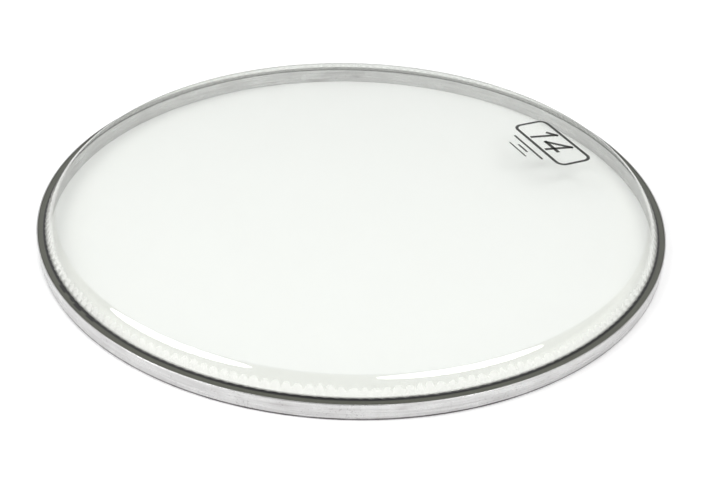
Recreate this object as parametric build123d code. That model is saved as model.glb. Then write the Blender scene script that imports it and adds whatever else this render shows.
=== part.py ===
from build123d import *
import math
import os

# Drum head for a 14 inch drum: a clear plastic film, pressed to a shallow dish, whose pleated
# skirt is cast with resin into a rolled aluminium channel. Z is the axis of the drum, z = 0 is
# the underside of the hoop, and the playing surface is uppermost. Lengths are in millimetres.

# Hoop: a channel, open upwards, rolled to a ring and butted
BORE_RADIUS = 178.0
CHANNEL_WIDTH = 6.0
CHANNEL_GAUGE = 0.7
OUTER_LEG_HEIGHT = 9.5
INNER_LEG_SHORTER = 0.2
BEND_RADIUS = 1.0
LIP_RADIUS = 0.3
JOINT_ANGLE = 92.6
SEAM_WIDTH = 0.4
SEAM_DEPTH = 0.2

# Splice: a flat key that bridges the butted ends on the channel's floor
SPLICE_LENGTH = 26.0
SPLICE_SIDE_CLEARANCE = 0.7
SPLICE_THICKNESS = 0.9

# Film: heights from the outer lip and the splice, radii inwards from the bore
FILM_THICKNESS = 0.25
CROWN_ABOVE_LIP = 8.7
CROWN_CORNER_INSET = 5.8
CROWN_CORNER_ROUND = 3.0
CROWN_CORNER_CHORDS = 2
CONE_ANGLE = 45.0
COLLAR_INSET = 1.5
HEM_FLARE = 0.9
HEM_ABOVE_SPLICE = 0.7

# Pleats that take up the fullness of the film, from nothing at the collar to deepest at the foot
SECTOR_COUNT = 12
PLEATS_PER_SECTOR = 18
PLEAT_DEPTH = 0.6

# Windows through the skirt, each in one side of a pleat, which the resin fills to hold the film
WINDOWS_PER_SECTOR = 1
WINDOW_WIDTH = 1.5
WINDOW_LENGTH = 3.0
WINDOW_ABOVE_HEM = 2.0

# Resin: dished between the outer leg and the film, which it climbs a little to a level land
RESIN_BELOW_LIP = 0.2
RESIN_DISH = 0.25
RESIN_CLIMB = 0.3
RESIN_CLIMB_WIDTH = 0.5
RESIN_LAND = 0.2
RESIN_INSIDE_LAND = 0.175
FOOT_ABOVE_RESIN = 0.2

# Sizes of the hoop and the splice that follow from the ones above
RIM_RADIUS = BORE_RADIUS + CHANNEL_WIDTH
INNER_FACE_RADIUS = BORE_RADIUS + CHANNEL_GAUGE
OUTER_FACE_RADIUS = RIM_RADIUS - CHANNEL_GAUGE
CORE_RADIUS = (INNER_FACE_RADIUS + OUTER_FACE_RADIUS) / 2
INNER_LEG_HEIGHT = OUTER_LEG_HEIGHT - INNER_LEG_SHORTER
SPLICE_WIDTH = OUTER_FACE_RADIUS - INNER_FACE_RADIUS - 2 * SPLICE_SIDE_CLEARANCE
SPLICE_TOP = CHANNEL_GAUGE + SPLICE_THICKNESS

# Sizes of the resin that follow
RESIN_LEVEL = OUTER_LEG_HEIGHT - LIP_RADIUS - RESIN_BELOW_LIP
LAND_LEVEL = RESIN_LEVEL + RESIN_CLIMB
SKIRT_REACH = (FILM_THICKNESS + PLEAT_DEPTH) / 2 + RESIN_LAND

# Sizes of the film that follow
CROWN_HEIGHT = OUTER_LEG_HEIGHT + CROWN_ABOVE_LIP
CROWN_CORNER_RADIUS = BORE_RADIUS - CROWN_CORNER_INSET
COLLAR_RADIUS = BORE_RADIUS - COLLAR_INSET
FOOT_RADIUS = INNER_FACE_RADIUS + RESIN_INSIDE_LAND + SKIRT_REACH
FOOT_HEIGHT = LAND_LEVEL + FOOT_ABOVE_RESIN
HEM_RADIUS = FOOT_RADIUS + HEM_FLARE
HEM_HEIGHT = SPLICE_TOP + HEM_ABOVE_SPLICE
WINDOW_HEIGHT = HEM_HEIGHT + WINDOW_ABOVE_HEM + WINDOW_LENGTH / 2
CONE_WALL = FILM_THICKNESS / math.sin(math.radians(CONE_ANGLE))
COLLAR_DROP = (COLLAR_RADIUS + CONE_WALL / 2 - CROWN_CORNER_RADIUS) * math.tan(math.radians(CONE_ANGLE))
COLLAR_HEIGHT = CROWN_HEIGHT - COLLAR_DROP
SECTOR_ANGLE = 360 / SECTOR_COUNT
SECTOR_STEPS = 2 * PLEATS_PER_SECTOR
STEP_ANGLE = SECTOR_ANGLE / SECTOR_STEPS


def eased(corners):
    """Outline of (radius, height) points from corners (radius, height, round), rounded in chords."""
    points = []
    for i, (radius, height, bend) in enumerate(corners):
        corner = Vector(radius, height)
        if not bend:
            points.append(corner)
            continue
        before = (Vector(*corners[i - 1][:2]) - corner).normalized()
        after = (Vector(*corners[(i + 1) % len(corners)][:2]) - corner).normalized()
        half = math.radians(before.get_angle(after) / 2)
        centre = corner + (before + after).normalized() * (bend / math.sin(half))
        first = corner + before * (bend / math.tan(half)) - centre
        last = corner + after * (bend / math.tan(half)) - centre
        chords = 1 + int(bend)
        turn = first.get_signed_angle(last, Vector(0, 0, 1))
        points += [centre + first.rotate(Axis.Z, turn * k / chords) for k in range(chords + 1)]
    return points


def turned(corners, arc=360):
    """Solid turned about Z from the closed outline of its corners (radius, height, round)."""
    outline = Polyline(*[(point.X, point.Y) for point in eased(corners)], close=True)
    return revolve(Plane.XZ * make_face(outline), axis=Axis.Z, revolution_arc=arc)


def ring_of(sector):
    """Full ring from one sector that starts at the X axis."""
    return Part() + [Rot(0, 0, i * SECTOR_ANGLE) * sector for i in range(SECTOR_COUNT)]


def hoop_channel():
    """The rolled channel, with the fine line where its two ends butt, outside and underneath."""
    channel = turned([
        (BORE_RADIUS, INNER_LEG_HEIGHT, LIP_RADIUS),
        (BORE_RADIUS, 0, BEND_RADIUS),
        (RIM_RADIUS, 0, BEND_RADIUS),
        (RIM_RADIUS, OUTER_LEG_HEIGHT, LIP_RADIUS),
        (OUTER_FACE_RADIUS, OUTER_LEG_HEIGHT, LIP_RADIUS),
        (OUTER_FACE_RADIUS, CHANNEL_GAUGE, 0),
        (INNER_FACE_RADIUS, CHANNEL_GAUGE, 0),
        (INNER_FACE_RADIUS, INNER_LEG_HEIGHT, LIP_RADIUS),
    ])
    seam_outside = Pos(RIM_RADIUS, 0, OUTER_LEG_HEIGHT / 2) * Box(
        2 * SEAM_DEPTH, SEAM_WIDTH, 2 * OUTER_LEG_HEIGHT
    )
    seam_below = Pos(CORE_RADIUS, 0, 0) * Box(CHANNEL_WIDTH, SEAM_WIDTH, 2 * SEAM_DEPTH)
    return channel - Rot(0, 0, JOINT_ANGLE) * (seam_outside + seam_below)


def hoop_splice():
    """Curved key on the channel's floor, centred on the seam."""
    arc = math.degrees(SPLICE_LENGTH / CORE_RADIUS)
    inner = CORE_RADIUS - SPLICE_WIDTH / 2
    outer = CORE_RADIUS + SPLICE_WIDTH / 2
    corners = [
        (inner, CHANNEL_GAUGE, 0),
        (outer, CHANNEL_GAUGE, 0),
        (outer, SPLICE_TOP, 0),
        (inner, SPLICE_TOP, 0),
    ]
    return Rot(0, 0, JOINT_ANGLE - arc / 2) * turned(corners, arc)


def skin_levels(side):
    """Levels (radius, height, pleat depth) of the film's outer (1) or inner (-1) skin, top down."""
    corner_reach = CROWN_CORNER_ROUND - (FILM_THICKNESS if side < 0 else 0)
    turn_radius = CROWN_CORNER_RADIUS - CROWN_CORNER_ROUND * math.tan(math.radians(CONE_ANGLE / 2))
    turn_height = CROWN_HEIGHT - CROWN_CORNER_ROUND
    levels = []
    for i in range(CROWN_CORNER_CHORDS + 1):
        turn = math.radians(CONE_ANGLE * i / CROWN_CORNER_CHORDS)
        radius = turn_radius + corner_reach * math.sin(turn)
        levels.append((radius, turn_height + corner_reach * math.cos(turn), 0))
    levels.append((COLLAR_RADIUS + side * CONE_WALL / 2, COLLAR_HEIGHT, 0))
    foot = FOOT_RADIUS + side * FILM_THICKNESS / 2
    flare = HEM_RADIUS / FOOT_RADIUS
    levels.append((foot, FOOT_HEIGHT, PLEAT_DEPTH))
    levels.append((foot * flare, HEM_HEIGHT, PLEAT_DEPTH * flare))
    return levels


def point_on(level, step):
    """Point of a level, so many half pleats from the X axis: even ones are ridges."""
    radius, height, depth = level
    reach = radius + (depth if step % 2 == 0 else -depth) / 2
    angle = math.radians(step * STEP_ANGLE)
    return Vector(reach * math.cos(angle), reach * math.sin(angle), height)


def flat_face(*points):
    """Flat face with these corners."""
    return Face(Wire.make_polygon(points, close=True))


def pleat_facets(upper, lower, ridge):
    """Flat facets of one pleat between two levels of a skin, from one ridge to the next."""
    high = [point_on(upper, ridge + i) for i in range(3)]
    low = [point_on(lower, ridge + i) for i in range(3)]
    if lower[2] == 0:
        return [flat_face(high[0], high[2], low[2], low[0])]
    if upper[2] == 0:
        return [
            flat_face(high[0], low[0], low[1]),
            flat_face(high[0], high[2], low[1]),
            flat_face(high[2], low[1], low[2]),
        ]
    return [
        flat_face(high[0], high[1], low[1], low[0]),
        flat_face(high[1], high[2], low[2], low[1]),
    ]


def film_sector():
    """A sector of the film, in flat facets narrower than the pleats, with windows in its skirt."""
    skins = [skin_levels(1), skin_levels(-1)]
    ridges = range(0, SECTOR_STEPS, 2)
    faces = []
    for levels in skins:
        crown = [point_on(levels[0], step) for step in range(0, SECTOR_STEPS + 1, 2)]
        faces.append(flat_face(Vector(0, 0, levels[0][1]), *crown))
        for upper, lower in zip(levels, levels[1:]):
            faces += [facet for ridge in ridges for facet in pleat_facets(upper, lower, ridge)]
    hems = [[point_on(levels[-1], step) for step in range(SECTOR_STEPS + 1)] for levels in skins]
    faces.append(flat_face(*hems[0], *reversed(hems[1])))
    for end in (0, SECTOR_STEPS):
        edges = [[point_on(level, end) for level in levels] for levels in skins]
        centres = [Vector(0, 0, levels[0][1]) for levels in skins]
        faces.append(flat_face(centres[0], *edges[0], *reversed(edges[1]), centres[1]))
    window = Pos(HEM_RADIUS, 0, WINDOW_HEIGHT) * Box(CHANNEL_WIDTH, WINDOW_WIDTH, WINDOW_LENGTH)
    spacing = SECTOR_STEPS // WINDOWS_PER_SECTOR
    steps = [spacing // 2 + i * spacing + 0.5 for i in range(WINDOWS_PER_SECTOR)]
    return Part() + Solid(Shell(faces)) - [Rot(0, 0, step * STEP_ANGLE) * window for step in steps]


def resin_sector(film):
    """A sector of the resin round the skirt, through its windows and under its hem."""
    climb_radius = FOOT_RADIUS + SKIRT_REACH + RESIN_CLIMB_WIDTH
    return turned([
        (OUTER_FACE_RADIUS, RESIN_LEVEL, 0),
        ((OUTER_FACE_RADIUS + climb_radius) / 2, RESIN_LEVEL - RESIN_DISH, 0),
        (climb_radius, RESIN_LEVEL - RESIN_DISH / 2, 0),
        (FOOT_RADIUS + SKIRT_REACH, LAND_LEVEL, 0),
        (FOOT_RADIUS - SKIRT_REACH, LAND_LEVEL, 0),
        (INNER_FACE_RADIUS, INNER_LEG_HEIGHT - LIP_RADIUS, 0),
        (INNER_FACE_RADIUS, CHANNEL_GAUGE, 0),
        (OUTER_FACE_RADIUS, CHANNEL_GAUGE, 0),
    ], SECTOR_ANGLE) - film


def main():
    """Build the four pieces and write each one to its own file."""
    splice = hoop_splice()
    film = film_sector()
    pieces = {
        "hoop_channel": hoop_channel(),
        "hoop_splice": splice,
        "film_head": ring_of(film),
        "resin_ring": ring_of(resin_sector(film)) - splice,
    }
    os.makedirs("parts", exist_ok=True)
    for name, piece in pieces.items():
        export_step(piece, f"parts/{name}.step")
        print(name, len(piece.solids()), "solid,", round(piece.volume, 1), "mm3")


main()
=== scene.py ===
"""Looks of the drum head: hoop, resin, clear film and printed size, in a bright studio."""

from __future__ import annotations

import logging
import math
import random
from dataclasses import dataclass, field
from typing import Callable, ClassVar, Mapping, Sequence, Union

import bpy
from mathutils import Matrix, Vector


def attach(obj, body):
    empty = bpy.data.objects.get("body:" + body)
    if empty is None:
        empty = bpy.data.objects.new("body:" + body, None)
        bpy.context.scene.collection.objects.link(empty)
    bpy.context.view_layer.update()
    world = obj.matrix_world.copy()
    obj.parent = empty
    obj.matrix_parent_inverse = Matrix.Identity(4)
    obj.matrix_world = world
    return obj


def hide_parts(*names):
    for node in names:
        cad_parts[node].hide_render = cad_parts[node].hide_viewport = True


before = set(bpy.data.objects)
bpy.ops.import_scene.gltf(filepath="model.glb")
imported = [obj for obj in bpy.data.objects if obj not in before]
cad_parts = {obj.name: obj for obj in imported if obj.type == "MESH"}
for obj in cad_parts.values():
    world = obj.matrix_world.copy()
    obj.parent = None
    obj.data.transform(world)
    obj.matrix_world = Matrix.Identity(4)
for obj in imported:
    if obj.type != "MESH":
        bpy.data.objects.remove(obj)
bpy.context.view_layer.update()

MM = 0.001
# Distance in millimetres under which two places are the same
TOUCH = 1e-3
WHITE = (1.0, 1.0, 1.0, 1.0)
LOG = logging.getLogger("drum_head")

Outline = Sequence[tuple[float, float]]
Colour = tuple[float, float, float, float]


def grey(level: float) -> Colour:
    """Opaque grey of that level."""
    return (level, level, level, 1.0)


# Node tools


class Signal:
    """An output socket that can stand in arithmetic; each operation adds its Math node."""

    def __init__(self, bench: NodeBench, socket: bpy.types.NodeSocket) -> None:
        """Wrap a socket of a node on that bench."""
        self.bench = bench
        self.socket = socket

    def math(self, operation: str, *others: Value) -> Signal:
        """Result of a Math node on this signal and the others."""
        values = {i: value for i, value in enumerate((self, *others))}
        return self.bench.add("ShaderNodeMath", {"operation": operation}, values)

    def __add__(self, other: Value) -> Signal:
        """Sum."""
        return self.math("ADD", other)

    __radd__ = __add__

    def __mul__(self, other: Value) -> Signal:
        """Product."""
        return self.math("MULTIPLY", other)

    __rmul__ = __mul__

    def __sub__(self, other: Value) -> Signal:
        """Difference."""
        return self.math("SUBTRACT", other)

    def __rsub__(self, other: float) -> Signal:
        """Difference from a number."""
        return self.math("MULTIPLY_ADD", -1.0, other)

    def __pow__(self, other: Value) -> Signal:
        """Power."""
        return self.math("POWER", other)

    def rise(self, low: float, high: float) -> Signal:
        """Smooth step from 0 at low to 1 at high.

        Args:
            low: Value at which the step starts.
            high: Value at which it ends, which may be under low for a fall.

        Returns:
            The step as a signal from 0 to 1.
        """
        values = {"Value": self, "From Min": low, "From Max": high}
        return self.bench.add("ShaderNodeMapRange", {"interpolation_type": "SMOOTHSTEP"}, values)

    def near(self, place: float, spread: float) -> Signal:
        """Smooth hump of height 1 at a place, down to 0 at that distance from it."""
        return (self - place).math("ABSOLUTE").rise(spread, 0.0)

    def clamped(self) -> Signal:
        """The signal, kept from 0 to 1."""
        return self.math("MAXIMUM", 0.0).math("MINIMUM", 1.0)


Value = Union[Signal, float]
Tone = Union[Signal, Colour]


class NodeBench:
    """Adds nodes to one tree and links them."""

    def __init__(self, tree: bpy.types.NodeTree) -> None:
        """Start on an empty tree."""
        self.tree = tree
        tree.nodes.clear()

    def add(
        self,
        kind: str,
        settings: Mapping[str, object] | None = None,
        values: Mapping[Union[str, int], object] | None = None,
        out: Union[str, int] = 0,
    ) -> Signal:
        """Add a node.

        Args:
            kind: The node's type.
            settings: The node's own settings, set first.
            values: Numbers, colours or signals for the input sockets, by name or index.
            out: The output socket that is wanted, by name or index.

        Returns:
            The wanted output.
        """
        node = self.tree.nodes.new(kind)
        for name, setting in (settings or {}).items():
            setattr(node, name, setting)
        for key, value in (values or {}).items():
            if isinstance(value, Signal):
                self.tree.links.new(value.socket, node.inputs[key])
            else:
                node.inputs[key].default_value = value
        return Signal(self, node.outputs[out] if len(node.outputs) else node.inputs[0])

    def mix(self, factor: Value, first: Tone, second: Tone) -> Signal:
        """Mix of two colours."""
        values = {0: factor, 6: first, 7: second}
        return self.add("ShaderNodeMix", {"data_type": "RGBA"}, values, 2)

    def blend(self, factor: Value, first: Signal, second: Signal) -> Signal:
        """Mix of two shaders."""
        return self.add("ShaderNodeMixShader", None, {0: factor, 1: first, 2: second})

    def clear(self, colour: Colour) -> Signal:
        """Shader that lets light straight through, in that colour."""
        return self.add("ShaderNodeBsdfTransparent", None, {"Color": colour})

    def attribute(self, name: str) -> Signal:
        """Number from an attribute of the piece's mesh."""
        return self.add("ShaderNodeAttribute", {"attribute_name": name}, None, "Fac")

    def part(self, vector: Signal, axis: str) -> Signal:
        """One coordinate of a vector."""
        return self.add("ShaderNodeSeparateXYZ", None, {0: vector}, axis)

    def place(self) -> PlaceOnRing:
        """Where on the piece a point is, in its own coordinates."""
        return PlaceOnRing(self)

    def noise(
        self, vector: Signal, scale: float, detail: float = 2.0, roughness: float = 0.5
    ) -> Signal:
        """Noise from 0 to 1 on a vector."""
        values = {"Vector": vector, "Scale": scale, "Detail": detail, "Roughness": roughness}
        return self.add("ShaderNodeTexNoise", None, values)

    def bump(self, height: Signal, strength: float, distance: float) -> Signal:
        """Normal disturbed by a height."""
        values = {"Height": height, "Strength": strength, "Distance": distance}
        return self.add("ShaderNodeBump", None, values)


class PlaceOnRing:
    """A point's object coordinates, also as radius and azimuth about the drum's axis."""

    def __init__(self, bench: NodeBench) -> None:
        """Read the object coordinates and work the rest out from them."""
        self.bench = bench
        self.vector = bench.add("ShaderNodeTexCoord", out="Object")
        self.x, self.y, self.z = (bench.part(self.vector, axis) for axis in "XYZ")
        self.radius = (self.x * self.x + self.y * self.y).math("SQRT")
        self.azimuth = self.y.math("ARCTAN2", self.x) * math.degrees(1.0)

    def stretched(self, along: float, across: float) -> Signal:
        """Coordinates that stretch a pattern along the ring.

        Args:
            along: Scale in x and y.
            across: Scale in z and, for level faces, in the radius.

        Returns:
            The coordinates as a vector.
        """
        height = self.z * across + self.radius * across
        values = {"X": self.x * along, "Y": self.y * along, "Z": height}
        return self.bench.add("ShaderNodeCombineXYZ", None, values)


class Look:
    """A material under construction."""

    def __init__(self, name: str) -> None:
        """Start an empty material of that name."""
        self.material = bpy.data.materials.new(name)
        self.material.use_nodes = True
        self.bench = NodeBench(self.material.node_tree)

    def principled(self, **sockets: object) -> Signal:
        """Principled shader with these sockets, named with _ for each space."""
        values = {name.replace("_", " "): value for name, value in sockets.items()}
        return self.bench.add("ShaderNodeBsdfPrincipled", None, values)

    def finish(self, surface: Signal) -> bpy.types.Material:
        """Give the material its surface and return it."""
        self.bench.add("ShaderNodeOutputMaterial", None, {"Surface": surface})
        return self.material


# Finishes


@dataclass(frozen=True)
class RolledAluminium:
    """Satin aluminium with fine roll lines, scuffs and smudges, a painted shadow at the foot of
    the joint pad and painted contact shade on the outer bend underneath.
    """

    name: str = "rolled_aluminium"
    clean: Colour = (0.625, 0.625, 0.622, 1.0)
    dull: Colour = (0.40, 0.388, 0.39, 1.0)
    # Painted contact shade: near-black colour for the bottom of the outer bend
    painted_bend_shade: Colour = (0.05, 0.040, 0.046, 1.0)
    roughness: float = 0.30
    line_length: float = 26.0
    line_pitch: float = 4200.0
    cloud_scale: float = 60.0
    pit_scale: float = 1100.0
    patch_scale: float = 110.0
    wear: float = 0.22
    # Painted contact shade reaches up to this height, outside this radius
    bend_shade_top: float = 1.7 * MM
    bend_shade_inner: float = 182.5 * MM
    # Smudges as azimuth and spread in degrees, height and reach in millimetres, and depth; the
    # first is a painted shadow at the foot of the joint pad, the second darkens the pad's middle
    smudges_and_pad_shadow: tuple[tuple[float, float, float, float, float], ...] = (
        (99.5, 4.0, 0.8, 2.6, 1.1),
        (90.0, 2.0, 5.0, 2.0, 0.7),
        (-99.0, 5.0, 6.4, 2.2, 0.35),
        (-82.0, 2.2, 6.8, 1.6, 0.5),
    )

    def material(self) -> bpy.types.Material:
        """Build the material."""
        look = Look(self.name)
        bench = look.bench
        place = bench.place()
        lines = bench.noise(place.stretched(self.line_length, self.line_pitch), 1.0, 3.0, 0.62)
        wide = place.stretched(self.line_length * 1.5, self.line_pitch * 0.2)
        bands = bench.noise(wide, 1.0, 2.0).rise(0.34, 0.66)
        cloud = bench.noise(place.vector, self.cloud_scale, 4.0, 0.65).rise(0.30, 0.70)
        pits = bench.noise(place.vector, self.pit_scale, 2.0, 0.6).rise(0.56, 0.68)
        patches = bench.noise(place.vector, self.patch_scale, 2.0).rise(0.46, 0.62)
        scuffs = pits * (patches * 0.8 + 0.2)
        dullness = scuffs * 0.65 + (bands - 0.5) * 0.35
        dullness = dullness + (lines - 0.5) * 0.5 + (cloud - 0.5) * 0.25
        # Smudges darken the wall; the one at the foot of the joint pad is a painted shadow
        for azimuth, spread, height, reach, depth in self.smudges_and_pad_shadow:
            there = place.azimuth.near(azimuth, spread) * place.z.near(height * MM, reach * MM)
            dullness = dullness + there * (cloud * 0.5 + 0.5) * depth
        worn = bench.mix((dullness + self.wear).clamped(), self.clean, self.dull)
        # Painted contact shade: the outside of the bend darkens towards the floor
        outside = place.radius.rise(self.bend_shade_inner, self.bend_shade_inner + MM)
        painted_bend_shade = place.z.rise(self.bend_shade_top, self.bend_shade_top * 0.5) * (cloud * 0.35 + 0.75) * outside
        tone = bench.mix(painted_bend_shade.math("MINIMUM", 1.0), worn, self.painted_bend_shade)
        rough = (dullness * 0.22 + self.roughness).math("MAXIMUM", 0.12)
        relief = lines + bands * 0.5 - scuffs * 0.8
        shader = look.principled(
            Base_Color=tone,
            Metallic=1.0,
            Roughness=rough,
            Normal=bench.bump(relief, 0.35, 0.02 * MM),
        )
        return look.finish(shader)


@dataclass(frozen=True)
class CastResin:
    """Dark olive resin, semi-gloss, streaked lengthwise and nearly black beside the film."""

    name: str = "cast_resin"
    middle: Colour = (0.071, 0.074, 0.057, 1.0)
    edge: Colour = (0.038, 0.038, 0.031, 1.0)
    pool: Colour = (0.004, 0.004, 0.004, 1.0)
    roughness: float = 0.34
    streak_length: float = 18.0
    streak_pitch: float = 2600.0
    cloud_scale: float = 60.0
    by_lip: float = 0.55 * MM
    shore: float = 0.3 * MM
    inner_edge: float = 179.3 * MM
    outer_edge: float = 183.3 * MM
    pools: tuple[tuple[float, float, float], ...] = (
        (-146.0, 1.7, 1.9),
        (-142.4, 0.9, 1.5),
        (-140.0, 1.6, 2.1),
        (-136.2, 1.5, 1.7),
    )

    def material(self) -> bpy.types.Material:
        """Build the material."""
        look = Look(self.name)
        bench = look.bench
        place = bench.place()
        grain = place.stretched(self.streak_length, self.streak_pitch)
        streaks = bench.noise(grain, 1.0, 3.0, 0.6)
        cloud = bench.noise(place.vector, self.cloud_scale, 3.0)
        by_lip = place.radius.rise(self.outer_edge - self.by_lip, self.outer_edge)
        shade = by_lip * 0.9 + (streaks - 0.5) * 1.3 + (cloud - 0.5) * 0.5 + 0.1
        cast = bench.mix(shade.clamped(), self.middle, self.edge)
        ragged = place.radius + (cloud - 0.5) * 0.5 * MM
        black = ragged.rise(self.inner_edge + 1.4 * MM, self.inner_edge + 0.8 * MM)
        for azimuth, spread, reach in self.pools:
            within = place.azimuth.near(azimuth, spread).rise(0.0, 0.35)
            edge = self.inner_edge + reach * MM
            black = black.math("MAXIMUM", within * ragged.rise(edge + self.shore, edge))
        tone = bench.mix(black, cast, self.pool)
        shader = look.principled(
            Base_Color=tone,
            Roughness=self.roughness + (cloud - 0.5) * 0.2,
            Normal=bench.bump(streaks + cloud, 0.25, 0.03 * MM),
        )
        return look.finish(shader)


@dataclass(frozen=True)
class ClearFilm:
    """Clear polyester film: see-through, glossy by its angle, milky where it is gathered, with
    painted shade on its wall below the shoulder and in its creases at the left and right.
    """

    name: str = "clear_film"
    tint: Colour = (0.930, 0.937, 0.927, 1.0)
    # Painted shade: darker see-through tint for the film's wall below the shoulder
    painted_cone_shade: Colour = (0.917, 0.923, 0.904, 1.0)
    gathered: Colour = (0.961, 0.964, 0.949, 1.0)
    # Painted shade in the creases: grey see-through tint, at the sides listed below as azimuth in
    # degrees and depth
    painted_crease_shade: Colour = (0.60, 0.60, 0.58, 1.0)
    crease_shade_sides: tuple[tuple[float, float], ...] = (
        (-155.0, 1.0),
        (-25.0, 0.6),
    )
    # Spread of the painted crease shade in degrees; the painted cone shade fades in between these
    # heights and is left out over the far side
    crease_shade_spread: float = 35.0
    cone_shade_from: float = 17.9 * MM
    cone_shade_to: float = 17.2 * MM
    cone_shade_gap_at: float = 76.0
    cone_shade_gap_spread: float = 66.0
    bloom: Colour = (0.86, 0.865, 0.84, 1.0)
    normal_gloss: float = 0.0533
    roughness: float = 0.03
    haze: float = 0.012
    cloud_scale: float = 14.0
    dust: float = 0.25
    dust_scale: float = 2400.0
    dust_from: tuple[float, float] = (0.80, 0.86)
    milk: float = 0.20
    mottle_scale: float = 700.0

    def material(self) -> bpy.types.Material:
        """Build the material."""
        look = Look(self.name)
        bench = look.bench
        place = bench.place()
        gather = bench.attribute(Pleats.ATTRIBUTE)
        # Painted shade in the creases, only at the left and right sides
        near = [place.azimuth.near(at, self.crease_shade_spread) * depth for at, depth in self.crease_shade_sides]
        crease_shade_mask = bench.attribute(Pleats.CREASE) * sum(near[1:], near[0])
        gathered = bench.blend(crease_shade_mask, bench.clear(self.gathered), bench.clear(self.painted_crease_shade))
        # Painted shade on the wall below the shoulder, left out over the far side
        cone_shade_gap = place.azimuth.near(self.cone_shade_gap_at, self.cone_shade_gap_spread)
        collar = place.z.rise(self.cone_shade_from, self.cone_shade_to) * (1.0 - cone_shade_gap)
        wall = bench.blend(gather, bench.clear(self.painted_cone_shade), gathered)
        seen_through = bench.blend(collar, bench.clear(self.tint), wall)
        facing = bench.add("ShaderNodeLayerWeight", None, {"Blend": 0.5}, "Facing")
        gloss = facing ** 5.0 * (1.0 - self.normal_gloss) + self.normal_gloss
        values = {"Color": WHITE, "Roughness": self.roughness}
        film = bench.blend(gloss, seen_through, bench.add("ShaderNodeBsdfGlossy", None, values))
        cloud = bench.noise(place.vector, self.cloud_scale, 4.0, 0.6)
        dust = bench.noise(place.vector, self.dust_scale, 0.0).rise(*self.dust_from)
        mottle = bench.noise(place.vector, self.mottle_scale, 2.0, 0.6)
        milk = gather * (mottle * 0.5 + 0.75) * self.milk
        haze = (cloud * self.haze + dust * self.dust + milk).math("MINIMUM", 1.0)
        bloom = bench.add("ShaderNodeBsdfDiffuse", None, {"Color": self.bloom})
        return look.finish(bench.blend(haze, film, bloom))


@dataclass(frozen=True)
class BlackInk:
    """Screen-printed black ink, faintly uneven."""

    name: str = "black_ink"
    tone: Colour = (0.012, 0.013, 0.011, 1.0)
    thin: Colour = (0.035, 0.037, 0.032, 1.0)
    roughness: float = 0.35

    def material(self) -> bpy.types.Material:
        """Build the material."""
        look = Look(self.name)
        bench = look.bench
        cloud = bench.noise(bench.place().vector, 900.0, 3.0, 0.6)
        tone = bench.mix(cloud, self.tone, self.thin)
        shader = look.principled(
            Base_Color=tone,
            Roughness=cloud * 0.2 + self.roughness,
            Normal=bench.bump(cloud, 0.1, 0.02 * MM),
        )
        return look.finish(shader)


@dataclass(frozen=True)
class PaleSweep:
    """The plain pale floor's paint."""

    name: str = "pale_floor"
    tone: float = 0.96
    uneven: float = 0.01
    roughness: float = 0.9
    glow: float = 0.12

    def material(self) -> bpy.types.Material:
        """Build the material."""
        look = Look(self.name)
        bench = look.bench
        cloud = bench.noise(bench.place().vector, 1.4, 2.0)
        shader = look.principled(
            Base_Color=bench.mix(cloud, grey(self.tone), grey(self.tone - self.uneven)),
            Roughness=self.roughness,
            Emission_Color=WHITE,
            Emission_Strength=self.glow,
        )
        return look.finish(shader)


# Modelling tools


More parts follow.
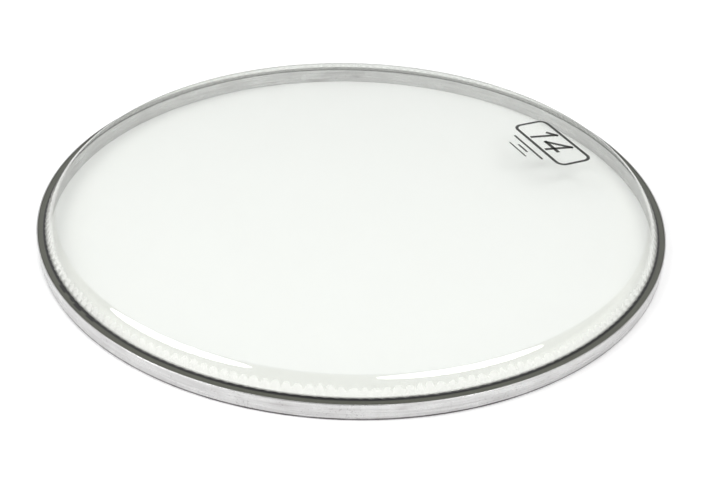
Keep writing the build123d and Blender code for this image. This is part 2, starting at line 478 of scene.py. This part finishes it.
class Modeller:
    """Edit-mode work on one new mesh, from a single point to a finished piece."""

    WEDGES: ClassVar[int] = 24

    def __init__(self, name: str) -> None:
        """Start a piece from a plane merged to one vertex at the origin."""
        bpy.ops.object.select_all(action="DESELECT")
        bpy.ops.mesh.primitive_plane_add(size=MM)
        self.piece = bpy.context.active_object
        self.piece.name = name
        self.piece.data.name = name
        bpy.ops.object.mode_set(mode="EDIT")
        bpy.ops.mesh.select_all(action="SELECT")
        bpy.ops.mesh.merge(type="CENTER")

    def trace(self, outline: Outline, closed: bool) -> None:
        """Extrude an outline in the XZ plane.

        Args:
            outline: Its points as (radius, height), in millimetres.
            closed: Whether its last point joins its first.
        """
        corners = [Vector((radius, 0.0, height)) * MM for radius, height in outline]
        bpy.ops.transform.translate(value=corners[0])
        for here, there in zip(corners, corners[1:]):
            bpy.ops.mesh.extrude_region_move(TRANSFORM_OT_translate={"value": there - here})
        if closed:
            ends = corners[0], corners[-1]
            self.select(lambda place: any((place - end).length < MM * TOUCH for end in ends))
            bpy.ops.mesh.edge_face_add()

    def turn(self, steps: int) -> None:
        """Spin the outline through one wedge, copy the wedge round the axis and close the ring."""
        wedge = math.tau / self.WEDGES
        about = {"center": (0, 0, 0), "axis": (0, 0, 1)}
        bpy.ops.mesh.select_all(action="SELECT")
        bpy.ops.mesh.spin(steps=steps // self.WEDGES, angle=wedge, **about)
        bpy.ops.mesh.select_all(action="SELECT")
        bpy.ops.mesh.spin(steps=self.WEDGES - 1, angle=math.tau - wedge, dupli=True, **about)
        bpy.ops.mesh.select_all(action="SELECT")
        bpy.ops.mesh.remove_doubles(threshold=MM * TOUCH)
        bpy.ops.mesh.normals_make_consistent(inside=False)

    def select(self, wanted: Callable[[Vector], bool]) -> None:
        """Select the vertices whose place makes the function true."""
        bpy.ops.mesh.select_mode(type="VERT")
        bpy.ops.mesh.select_all(action="DESELECT")
        bpy.ops.object.mode_set(mode="OBJECT")
        for vertex in self.piece.data.vertices:
            vertex.select = wanted(vertex.co)
        bpy.ops.object.mode_set(mode="EDIT")

    def done(self, smooth_angle: float = 40.0) -> bpy.types.Object:
        """Leave edit mode and shade the piece smooth up to that angle."""
        bpy.ops.object.mode_set(mode="OBJECT")
        bpy.ops.object.select_all(action="DESELECT")
        self.piece.select_set(True)
        bpy.context.view_layer.objects.active = self.piece
        bpy.ops.object.shade_smooth_by_angle(angle=math.radians(smooth_angle))
        return self.piece

    def apply(self, kind: str, **settings: object) -> None:
        """Add a modifier with these settings and apply it."""
        bpy.ops.object.mode_set(mode="OBJECT")
        modifier = self.piece.modifiers.new(kind.lower(), kind)
        for name, setting in settings.items():
            setattr(modifier, name, setting)
        bpy.context.view_layer.objects.active = self.piece
        bpy.ops.object.modifier_apply(modifier=modifier.name)


def arc(
    centre: tuple[float, float], radius: float, start: float, end: float, steps: int
) -> list[tuple[float, float]]:
    """Points of an arc in the (radius, height) plane.

    Args:
        centre: The arc's centre.
        radius: Its radius.
        start: Angle of its first point, in degrees from the radius axis.
        end: Angle of its last point.
        steps: Number of chords.

    Returns:
        Its points from start to end.
    """
    points = []
    for i in range(steps + 1):
        angle = math.radians(start + (end - start) * i / steps)
        points.append((centre[0] + radius * math.cos(angle), centre[1] + radius * math.sin(angle)))
    return points


def smooth_share(share: float) -> float:
    """Smooth step of a share, kept from 0 to 1."""
    share = min(max(share, 0.0), 1.0)
    return share * share * (3.0 - 2.0 * share)


def on_ring(place: Vector) -> tuple[float, float]:
    """Radius in millimetres and azimuth in radians of a place about the drum's axis."""
    return math.hypot(place.x, place.y) / MM, math.atan2(place.y, place.x)


def dress(piece: bpy.types.Object, material: bpy.types.Material, node: str) -> None:
    """Give a piece its material and its body, and hide the node that it stands for."""
    piece.data.materials.clear()
    piece.data.materials.append(material)
    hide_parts(node)
    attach(piece, "root")


# The drum head's pieces


@dataclass
class Hoop:
    """Aluminium channel, open upwards, rolled to a ring; its joint shows as a seam and a pad."""

    bore_radius: float = 178.0
    width: float = 6.0
    gauge: float = 0.7
    outer_leg: float = 9.5
    inner_leg: float = 9.3
    bend: float = 1.0
    lip: float = 0.3
    steps: int = 720
    joint_azimuth: float = 92.6
    seam_width: float = 0.4
    seam_depth: float = 0.2
    pad_length: float = 33.0
    pad_height: float = 6.0
    pad_middle: float = 4.9
    pad_proud: float = 0.5
    pad_edge: float = 1.0
    wall_rows: int = 16
    lip_chords: int = 4
    bend_chords: int = 6
    inside_chords: int = 2

    def outline(self) -> list[tuple[float, float]]:
        """Closed section of the channel, from the inner leg's lip down and round."""
        rim = self.bore_radius + self.width
        inner_face = self.bore_radius + self.gauge
        outer_face = rim - self.gauge
        inside_bend = self.bend - self.gauge
        lip, bend, level = self.lip, self.bend, self.gauge + inside_bend
        inner_top, outer_top = self.inner_leg - lip, self.outer_leg - lip
        pitch = (inner_top - bend) / self.wall_rows
        return [
            *arc((self.bore_radius + lip, inner_top), lip, 90, 180, self.lip_chords),
            *[(self.bore_radius, inner_top - pitch * i) for i in range(1, self.wall_rows)],
            *arc((self.bore_radius + bend, bend), bend, 180, 270, self.bend_chords),
            *arc((rim - bend, bend), bend, 270, 360, self.bend_chords),
            *arc((rim - lip, outer_top), lip, 0, 90, self.lip_chords),
            *arc((outer_face + lip, outer_top), lip, 90, 180, self.lip_chords),
            *arc((outer_face - inside_bend, level), inside_bend, 360, 270, self.inside_chords),
            *arc((inner_face + inside_bend, level), inside_bend, 270, 180, self.inside_chords),
            *arc((inner_face - lip, inner_top), lip, 0, 90, self.lip_chords),
        ]

    def join_ends(self, piece: bpy.types.Object) -> None:
        """Draw three columns together into the groove where the ends butt, and press the pad.

        Args:
            piece: The turned channel.
        """
        step = 360.0 / self.steps
        middle = round(self.joint_azimuth / step)
        rim = self.bore_radius + self.width
        for vertex in piece.data.vertices:
            radius, turn = on_ring(vertex.co)
            height = vertex.co.z / MM
            column = round(math.degrees(turn) % 360.0 / step) - middle
            azimuth = (column + middle) * step
            if abs(column) <= 1:
                azimuth = self.joint_azimuth + column * math.degrees(self.seam_width / 2 / rim)
            if radius < self.bore_radius + TOUCH:
                radius -= self.pad_proud * self.pad_share(azimuth, height)
            if column == 0 and radius > rim - self.gauge / 2:
                radius -= self.seam_depth
            elif column == 0 and radius < self.bore_radius + self.gauge / 2:
                radius += self.seam_depth
            elif column == 0 and height < self.gauge / 2:
                height += self.seam_depth
            turn = math.radians(azimuth)
            vertex.co = Vector((radius * math.cos(turn), radius * math.sin(turn), height)) * MM

    def pad_share(self, azimuth: float, height: float) -> float:
        """How far a point of the inner wall is up the pad's edge.

        Args:
            azimuth: The point's azimuth in degrees.
            height: Its height in millimetres.

        Returns:
            The share, from 0 outside the pad to 1 on it.
        """
        along = abs(math.radians(azimuth - self.joint_azimuth)) * self.bore_radius
        straight = (self.pad_length - self.pad_height) / 2
        reach = math.hypot(max(along - straight, 0.0), height - self.pad_middle)
        return smooth_share((self.pad_height / 2 - reach) / self.pad_edge)

    def build(self, finish: RolledAluminium) -> bpy.types.Object:
        """Model and dress the hoop."""
        modeller = Modeller("hoop")
        modeller.trace(self.outline(), closed=True)
        modeller.turn(self.steps)
        bpy.ops.object.mode_set(mode="OBJECT")
        self.join_ends(modeller.piece)
        piece = modeller.done()
        dress(piece, finish.material(), "hoop_channel")
        return piece


@dataclass
class Pleats:
    """The gathers of the film's collar, each a steep lobe between two creases.

    Above a lobe the film is a smooth wall. The lobe starts lower towards its creases, which
    therefore stand out from it.
    """

    ATTRIBUTE: ClassVar[str] = "gather"
    CREASE: ClassVar[str] = "crease"

    count: int = 216
    columns_each: int = 8
    seed: int = 1421
    apex_height: float = 14.3
    crease_height: float = 12.3
    foot_height: float = 9.5
    lobe_foot: float = 179.15
    crease_foot: float = 179.55
    height_wander: float = 0.55
    pitch_wander: float = 0.13
    blend: float = 0.14
    edge: float = 0.3
    lead: float = 0.3
    rounding: float = 0.75
    flank: float = 0.85
    bounds: list[float] = field(init=False)
    rises: list[float] = field(init=False)
    depths: list[float] = field(init=False)

    def __post_init__(self) -> None:
        """Draw each pleat's width, height and depth."""
        draw = random.Random(self.seed)
        self.bounds = [draw.uniform(-1, 1) * self.pitch_wander for _ in range(self.count)]
        self.rises = [draw.gauss(0.0, 0.5) * self.height_wander for _ in range(self.count)]
        self.depths = [draw.uniform(0.75, 1.25) for _ in range(self.count)]

    @property
    def columns(self) -> int:
        """Number of columns of the film's mesh."""
        return self.count * self.columns_each

    def azimuth(self, column: int) -> float:
        """Azimuth of a column in radians, with the pleats' uneven widths."""
        pleat, step = divmod(column, self.columns_each)
        start = pleat + self.bounds[pleat]
        end = pleat + 1 + self.bounds[(pleat + 1) % self.count]
        return math.tau * (start + (end - start) * step / self.columns_each) / self.count

    def lobe(self, column: int) -> float:
        """Share of a lobe's fullness at a column, from 0 in a crease to 1 in mid lobe."""
        across = math.pi * (column % self.columns_each) / self.columns_each
        return math.sin(across) ** self.rounding

    def bend_height(self, column: int) -> float:
        """Height at which the wall bends into the lobe.

        Args:
            column: Column of the mesh.

        Returns:
            The height in millimetres.
        """
        pleat, step = divmod(column, self.columns_each)
        phase = step / self.columns_each
        after = (pleat + 1) % self.count
        rise = self.rises[pleat] * (1 - phase) + self.rises[after] * phase
        depth = self.depths[pleat] * (1 - phase) + self.depths[after] * phase
        full = self.apex_height + rise - self.crease_height
        return self.crease_height + full * self.lobe(column) * min(depth, 1.1)

    def radius(self, column: int, height: float, wall: Callable[[float], float]) -> float:
        """Radius of the film's outer skin in the gathers.

        Args:
            column: Column of the mesh.
            height: Height, at or above the foot, in millimetres.
            wall: Radius of the ungathered wall as a function of the height.

        Returns:
            The radius in millimetres.
        """
        bend_height = self.bend_height(column)
        foot_radius = self.crease_foot + (self.lobe_foot - self.crease_foot) * self.lobe(column)
        fall = (bend_height - height) / (bend_height - self.foot_height)
        lobe_radius = wall(bend_height) + (foot_radius - wall(bend_height)) * fall
        gap = lobe_radius - wall(height)
        return (lobe_radius + wall(height) - math.sqrt(gap * gap + self.blend * self.blend)) / 2

    def gathered_share(self, column: int, height: float) -> float:
        """How far below its bend a point is, from 0 above it to 1."""
        return smooth_share((self.bend_height(column) - height) / self.edge + self.lead)

    def fullness(self, column: int, height: float) -> float:
        """How far into a lobe a point is, from 0 to 1, for the film's milkiness."""
        full = self.flank + (1.0 - self.flank) * self.lobe(column)
        return self.gathered_share(column, height) * full

    def crease(self, column: int, height: float) -> float:
        """How near a point is to the bottom of a crease, from 0 to 1, for the painted shade that
        darkens its line.
        """
        return self.gathered_share(column, height) * (1.0 - self.lobe(column)) ** 2


@dataclass
class Film:
    """The clear film: playing surface, rounded shoulder, cone, pleated collar and skirt."""

    pleats: Pleats
    thickness: float = 0.25
    crown_height: float = 18.18
    corner_radius: float = 172.2
    corner_round: float = 3.0
    brow: float = 33.5
    belly: float = 15.2
    knee: float = 14.3
    hem_radius: float = 180.4
    hem_height: float = 2.3
    hem_depth: float = 0.3
    gather_top: float = 15.2
    gather_rows: int = 14
    belly_chords: int = 5
    corner_chords: int = 6
    flat_radius: float = 166.0

    @property
    def turn_radius(self) -> float:
        """Radius at which the playing surface starts to turn down."""
        return self.corner_radius - self.corner_round * math.tan(math.radians(22.5))

    @property
    def belly_centre(self) -> tuple[float, float]:
        """Centre of the wall's easy curve, which follows the corner's round at its brow."""
        brow, reach = math.radians(self.brow), self.belly - self.corner_round
        height = self.crown_height - self.corner_round - reach * math.cos(brow)
        return self.turn_radius - reach * math.sin(brow), height

    def slope(self, height: float) -> float:
        """Slope of the easy curve at a height, in degrees."""
        return math.degrees(math.acos((height - self.belly_centre[1]) / self.belly))

    def wall_radius(self, height: float) -> float:
        """Radius of the ungathered wall's outer skin: an easy curve, straight below the knee."""
        slope = math.radians(self.slope(max(height, self.knee)))
        radius = self.belly_centre[0] + self.belly * math.sin(slope)
        return radius + max(self.knee - height, 0.0) / math.tan(slope)

    def outline(self) -> list[tuple[float, float]]:
        """Open section of the outer skin, from the hem up to the playing surface."""
        foot = self.pleats.foot_height
        rise, count = self.gather_top - foot, self.gather_rows
        rows = [foot + rise * i / count for i in range(count + 1)]
        brow, low = 90 - self.brow, 90 - self.slope(self.gather_top)
        corner = (self.turn_radius, self.crown_height - self.corner_round)
        return [
            (self.hem_radius, self.hem_height),
            *[(self.wall_radius(height), height) for height in rows],
            *arc(self.belly_centre, self.belly, low, brow, self.belly_chords)[1:],
            *arc(corner, self.corner_round, brow, 90, self.corner_chords)[1:],
            (self.flat_radius, self.crown_height),
        ]

    def gather(self, piece: bpy.types.Object) -> None:
        """Move the columns of the turned film into the pleats, and mark how full each point is.

        Args:
            piece: The turned film, one skin thick.
        """
        foot, columns = self.pleats.foot_height, self.pleats.columns
        fullness, creases = [], []
        for vertex in piece.data.vertices:
            height = vertex.co.z / MM
            radius, turn = on_ring(vertex.co)
            column = round(turn / math.tau * columns) % columns
            if height <= foot + TOUCH:
                skirt = (foot - height) / (foot - self.hem_height)
                at_foot = self.pleats.radius(column, foot, self.wall_radius)
                swing = math.cos(math.tau * column / self.pleats.columns_each) * self.hem_depth
                radius = at_foot + (self.hem_radius + swing - at_foot) * max(skirt, 0.0)
            elif height <= self.gather_top + TOUCH:
                radius = self.pleats.radius(column, height, self.wall_radius)
            fullness.append(self.pleats.fullness(column, height))
            creases.append(self.pleats.crease(column, height))
            azimuth = self.pleats.azimuth(column)
            vertex.co.x = radius * MM * math.cos(azimuth)
            vertex.co.y = radius * MM * math.sin(azimuth)
        for name, values in ((Pleats.ATTRIBUTE, fullness), (Pleats.CREASE, creases)):
            marks = piece.data.attributes.new(name, "FLOAT", "POINT")
            marks.data.foreach_set("value", values)

    def build(self, finish: ClearFilm) -> bpy.types.Object:
        """Model and dress the film."""
        modeller = Modeller("film")
        modeller.trace(self.outline(), closed=False)
        modeller.turn(self.pleats.columns)
        edge = self.flat_radius * MM
        modeller.select(lambda place: math.hypot(place.x, place.y) < edge + 10 * TOUCH * MM)
        bpy.ops.mesh.edge_face_add()
        bpy.ops.mesh.select_all(action="SELECT")
        bpy.ops.mesh.normals_make_consistent(inside=False)
        bpy.ops.object.mode_set(mode="OBJECT")
        self.gather(modeller.piece)
        modeller.apply("SOLIDIFY", thickness=self.thickness * MM, offset=-1.0)
        piece = modeller.done(35.0)
        dress(piece, finish.material(), "film_head")
        return piece


@dataclass
class Resin:
    """Resin cast in the channel, dished between the outer leg and the film, which it climbs."""

    hoop: Hoop
    pleats: Pleats
    wall: Callable[[float], float]
    level: float = 9.02
    dish: float = 0.22
    climb: float = 0.30
    climb_width: float = 0.1
    top_layer: float = 0.5
    inner_level: float = 8.85
    near_film: float = 180.6

    def outline(self) -> list[tuple[float, float]]:
        """Closed section of the resin, from the inner leg over the film to the outer leg."""
        inner = self.hoop.bore_radius + self.hoop.gauge
        outer = self.hoop.bore_radius + self.hoop.width - self.hoop.gauge
        floor = self.hoop.gauge
        film = (self.pleats.lobe_foot + self.pleats.crease_foot) / 2
        low = self.level - self.dish
        return [
            (inner, self.inner_level),
            (film - 0.25, self.inner_level + 0.12),
            (film + 0.02, self.level + self.climb),
            (film + 0.14, self.level + self.climb * 0.55),
            (film + 0.34, self.level + self.climb * 0.18),
            (film + 0.75, low + self.dish * 0.45),
            (film + 1.35, low + self.dish * 0.1),
            (outer - 1.2, low),
            (outer - 0.5, low + self.dish * 0.35),
            (outer - 0.15, low + self.dish * 0.8),
            (outer, self.level + 0.12),
            (outer, floor),
            (inner, floor),
        ]

    def follow_film(self, piece: bpy.types.Object) -> None:
        """Move the climbing edge of the turned resin along the pleats.

        Args:
            piece: The turned resin.
        """
        columns = self.pleats.columns
        film = (self.pleats.lobe_foot + self.pleats.crease_foot) / 2
        inner = self.hoop.bore_radius + self.hoop.gauge
        start = film + self.climb_width
        for vertex in piece.data.vertices:
            radius, turn = on_ring(vertex.co)
            column = round(turn / math.tau * columns) % columns
            azimuth = self.pleats.azimuth(column)
            upper = vertex.co.z / MM > self.level - self.top_layer
            if upper and inner + 10 * TOUCH < radius < self.near_film:
                at_film = self.pleats.radius(column, self.pleats.foot_height, self.wall)
                fade = (self.near_film - radius) / (self.near_film - start)
                radius += (at_film - film) * (1.0 if radius <= start else fade)
            vertex.co.x = radius * MM * math.cos(azimuth)
            vertex.co.y = radius * MM * math.sin(azimuth)

    def build(self, finish: CastResin) -> bpy.types.Object:
        """Model and dress the resin."""
        modeller = Modeller("resin")
        modeller.trace(self.outline(), closed=True)
        modeller.turn(self.pleats.columns)
        bpy.ops.object.mode_set(mode="OBJECT")
        self.follow_film(modeller.piece)
        piece = modeller.done(50.0)
        dress(piece, finish.material(), "resin_ring")
        return piece


@dataclass
class SizeMark:
    """Printed size on the playing surface: a number in a plain frame, and bars under it."""

    azimuth: float = 24.3
    foot_radius: float = 127.0
    frame_width: float = 58.0
    frame_height: float = 25.0
    corner: float = 6.0
    stroke: float = 2.1
    ink: float = 0.012
    surface: float = 18.18
    digit_stroke: float = 2.5
    slant: float = 0.22
    strokes: tuple[tuple[float, float, float, float], ...] = (
        (-9.0, -8.0, -9.0, 8.0),
        (-9.0, 8.0, -13.0, 4.5),
        (8.5, -8.0, 8.5, 8.0),
        (8.5, 8.0, -1.0, -3.2),
        (-1.0, -3.2, 12.5, -3.2),
    )
    bars: tuple[tuple[float, float, float], ...] = (
        (-5.2, 34.0, 1.5),
        (-9.2, 11.0, 1.3),
        (-13.0, 20.0, 1.0),
    )

    def placed(self) -> Matrix:
        """Place of the mark's own plane: its foot in the middle, its top outwards."""
        turn = Matrix.Rotation(math.radians(self.azimuth - 90.0), 4, "Z")
        middle = self.surface + self.ink / 2
        return turn @ Matrix.Translation(Vector((0.0, self.foot_radius, middle)) * MM)

    def _slab(self, name: str, width: float, height: float, middle: float) -> bpy.types.Object:
        """Rectangle in the mark's plane, left in edit mode with all selected.

        Args:
            name: The new object's name.
            width: Its width in millimetres.
            height: Its height.
            middle: How far out its middle is from the frame's foot.

        Returns:
            The new object.
        """
        bpy.ops.object.select_all(action="DESELECT")
        bpy.ops.mesh.primitive_plane_add(size=MM, location=(0, 0, 0))
        piece = bpy.context.active_object
        piece.name = name
        bpy.ops.object.mode_set(mode="EDIT")
        bpy.ops.mesh.select_all(action="SELECT")
        bpy.ops.transform.resize(value=(width, height, 1.0))
        bpy.ops.transform.translate(value=(0.0, middle * MM, 0.0))
        return piece

    def _frame(self) -> bpy.types.Object:
        """Rounded frame round the number."""
        width, height = self.frame_width, self.frame_height
        piece = self._slab("mark_frame", width, height, height / 2)
        bpy.ops.mesh.bevel(offset=self.corner * MM, segments=8, affect="VERTICES")
        bpy.ops.mesh.select_all(action="SELECT")
        bpy.ops.mesh.inset(thickness=self.stroke * MM)
        bpy.ops.mesh.delete(type="FACE")
        bpy.ops.object.mode_set(mode="OBJECT")
        return piece

    def _bars(self) -> list[bpy.types.Object]:
        """Short bars under the frame."""
        made = []
        for i, (middle, width, height) in enumerate(self.bars):
            piece = self._slab(f"mark_bar_{i}", width, height, middle)
            bpy.ops.mesh.bevel(offset=height * 0.35 * MM, segments=3, affect="VERTICES")
            bpy.ops.object.mode_set(mode="OBJECT")
            made.append(piece)
        return made

    def _number(self) -> list[bpy.types.Object]:
        """The drum's size in inches, each stroke of its slanted digits a slab with square ends."""
        made = []
        for i, (left, low, right, high) in enumerate(self.strokes):
            start = Vector((left + low * self.slant, low, 0.0))
            end = Vector((right + high * self.slant, high, 0.0))
            along, thick = end - start, self.digit_stroke
            piece = self._slab(f"mark_stroke_{i}", along.length + thick, thick, 0.0)
            bpy.ops.object.mode_set(mode="OBJECT")
            middle = (start + end) / 2 + Vector((0.0, self.frame_height / 2, 0.0))
            turn = Matrix.Rotation(math.atan2(along.y, along.x), 4, "Z")
            piece.data.transform(Matrix.Translation(middle * MM) @ turn)
            made.append(piece)
        return made

    def build(self, finish: BlackInk) -> bpy.types.Object:
        """Model and dress the mark."""
        parts = [self._frame(), *self._number(), *self._bars()]
        bpy.ops.object.select_all(action="DESELECT")
        for part in parts:
            part.select_set(True)
        bpy.context.view_layer.objects.active = parts[0]
        bpy.ops.object.join()
        piece = bpy.context.active_object
        piece.name = "size_mark"
        piece.data.name = "size_mark"
        bpy.ops.object.mode_set(mode="EDIT")
        bpy.ops.mesh.select_all(action="SELECT")
        bpy.ops.mesh.remove_doubles(threshold=MM * TOUCH)
        bpy.ops.mesh.normals_make_consistent(inside=False)
        bpy.ops.object.mode_set(mode="OBJECT")
        modifier = piece.modifiers.new("ink", "SOLIDIFY")
        modifier.thickness = self.ink * MM
        modifier.offset = 0.0
        bpy.ops.object.modifier_apply(modifier=modifier.name)
        piece.data.transform(self.placed())
        piece.data.materials.clear()
        piece.data.materials.append(finish.material())
        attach(piece, "root")
        return piece


# The studio


@dataclass(frozen=True)
class Softbox:
    """An oval softbox that faces the drum head."""

    name: str
    direction: tuple[float, float, float]
    along: tuple[float, float, float]
    spread: tuple[float, float]
    radiance: float
    distance: float = 2.0

    def build(self) -> bpy.types.Object:
        """Add the light."""
        wide, high = (self.distance * share for share in self.spread)
        light = bpy.data.lights.new(self.name, "AREA")
        light.shape = "ELLIPSE"
        light.size, light.size_y = 2 * wide, 2 * high
        light.energy = self.radiance * math.pi * math.pi * wide * high
        lamp = bpy.data.objects.new(self.name, light)
        towards = Vector(self.direction).normalized()
        across = Vector(self.along)
        across = (across - towards * across.dot(towards)).normalized()
        axes = Matrix((across, towards.cross(across), towards)).transposed()
        lamp.matrix_world = Matrix.Translation(towards * self.distance) @ axes.to_4x4()
        bpy.context.scene.collection.objects.link(lamp)
        return lamp


@dataclass(frozen=True)
class Viewpoint:
    """The camera of the photograph, worked out from the hoop's rims."""

    distance: float = 0.6276
    elevation: float = 32.076
    yaw: float = 0.451
    pitch: float = -1.797
    roll: float = 1.590
    lens: float = 51.63
    lift: float = 0.0004

    def build(self) -> bpy.types.Object:
        """Add the camera and make it the scene's own."""
        tilt = math.radians(self.elevation)
        stand = Vector((0.0, -math.cos(tilt), math.sin(tilt))) * self.distance
        ahead = -stand.normalized()
        across = Vector((1.0, 0.0, 0.0))
        upward = across.cross(ahead)
        aside = across * math.tan(math.radians(self.yaw))
        ahead = ahead + aside + upward * math.tan(math.radians(self.pitch))
        ahead = ahead.normalized()
        across = ahead.cross(upward).normalized()
        upward = across.cross(ahead)
        roll = Matrix.Rotation(math.radians(self.roll), 3, "Z")
        axes = Matrix((across, upward, -ahead)).transposed() @ roll
        camera = bpy.data.objects.new("camera", bpy.data.cameras.new("camera"))
        camera.data.sensor_width = 36.0
        camera.data.lens = self.lens
        camera.data.clip_start = 0.01
        stand = stand + Vector((0.0, 0.0, self.lift))
        camera.matrix_world = Matrix.Translation(stand) @ axes.to_4x4()
        bpy.context.scene.collection.objects.link(camera)
        bpy.context.scene.camera = camera
        return camera


@dataclass
class Studio:
    """Pale floor, bright surroundings with a darker ceiling in front, two softboxes, camera."""

    floor_size: float = 12.0
    floor_sides: int = 64
    bright: float = 0.97
    dark: float = 0.11
    ceiling_from: tuple[float, float] = (0.25, 0.50)
    behind_from: tuple[float, float] = (-0.12, 0.12)
    sideways: float = 0.4
    horizon: float = 0.74
    horizon_to: tuple[float, float] = (0.30, 0.60)
    horizon_from: tuple[float, float] = (0.0, 0.3)
    softboxes: tuple[Softbox, ...] = (
        Softbox(
            name="softbox_left",
            direction=(-0.6865, -0.240, 0.6895),
            along=(0.586, -0.713, 0.385),
            spread=(0.40, 0.195),
            radiance=6.8,
        ),
        Softbox(
            name="softbox_right",
            direction=(0.474, -0.391, 0.789),
            along=(0.839, 0.472, -0.270),
            spread=(0.41, 0.18),
            radiance=6.8,
        ),
    )

    def build(self, finish: PaleSweep, viewpoint: Viewpoint) -> None:
        """Build the whole studio."""
        bpy.ops.object.select_all(action="DESELECT")
        bpy.ops.mesh.primitive_circle_add(
            vertices=self.floor_sides, radius=self.floor_size / 2, fill_type="NGON"
        )
        floor = bpy.context.active_object
        floor.name = "floor"
        floor.data.materials.append(finish.material())
        self.surround()
        for softbox in self.softboxes:
            softbox.build()
        viewpoint.build()
        bpy.context.scene.view_settings.view_transform = "Standard"

    def surround(self) -> None:
        """Light the world: bright low down and behind, with a dark ceiling in front."""
        world = bpy.data.worlds.new("studio")
        world.use_nodes = True
        bpy.context.scene.world = world
        bench = NodeBench(world.node_tree)
        way = bench.add("ShaderNodeTexCoord", out="Generated")
        height = bench.part(way, "Z")
        side = bench.part(way, "X").math("ABSOLUTE")
        depth = bench.part(way, "Y") - side * self.sideways
        shade = height.rise(*self.ceiling_from) * depth.rise(*reversed(self.behind_from))
        low = height.rise(*reversed(self.horizon_to)) * depth.rise(*self.horizon_from)
        walls = bench.mix(low, grey(self.bright), grey(self.horizon))
        tone = bench.mix(shade, walls, grey(self.dark))
        glow = bench.add("ShaderNodeBackground", None, {"Color": tone, "Strength": 1.0})
        bench.add("ShaderNodeOutputWorld", None, {"Surface": glow})


def dress_splice(finish: RolledAluminium) -> None:
    """Give the hidden splice key its material."""
    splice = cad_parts["hoop_splice"]
    splice.data.materials.clear()
    splice.data.materials.append(finish.material())


def main() -> None:
    """Build the drum head and its studio, and report each piece."""
    logging.basicConfig(level=logging.INFO, format="%(name)s: %(message)s")
    hoop, pleats = Hoop(), Pleats()
    film = Film(pleats)
    resin = Resin(hoop, pleats, film.wall_radius)
    made = [
        hoop.build(RolledAluminium()),
        resin.build(CastResin()),
        film.build(ClearFilm()),
        SizeMark().build(BlackInk()),
    ]
    dress_splice(RolledAluminium(name="plain_aluminium", roughness=0.38))
    Studio().build(PaleSweep(), Viewpoint())
    for piece in made:
        piece.data.calc_loop_triangles()
        LOG.info("%s: %d triangles", piece.name, len(piece.data.loop_triangles))


if __name__ == "__main__":
    main()
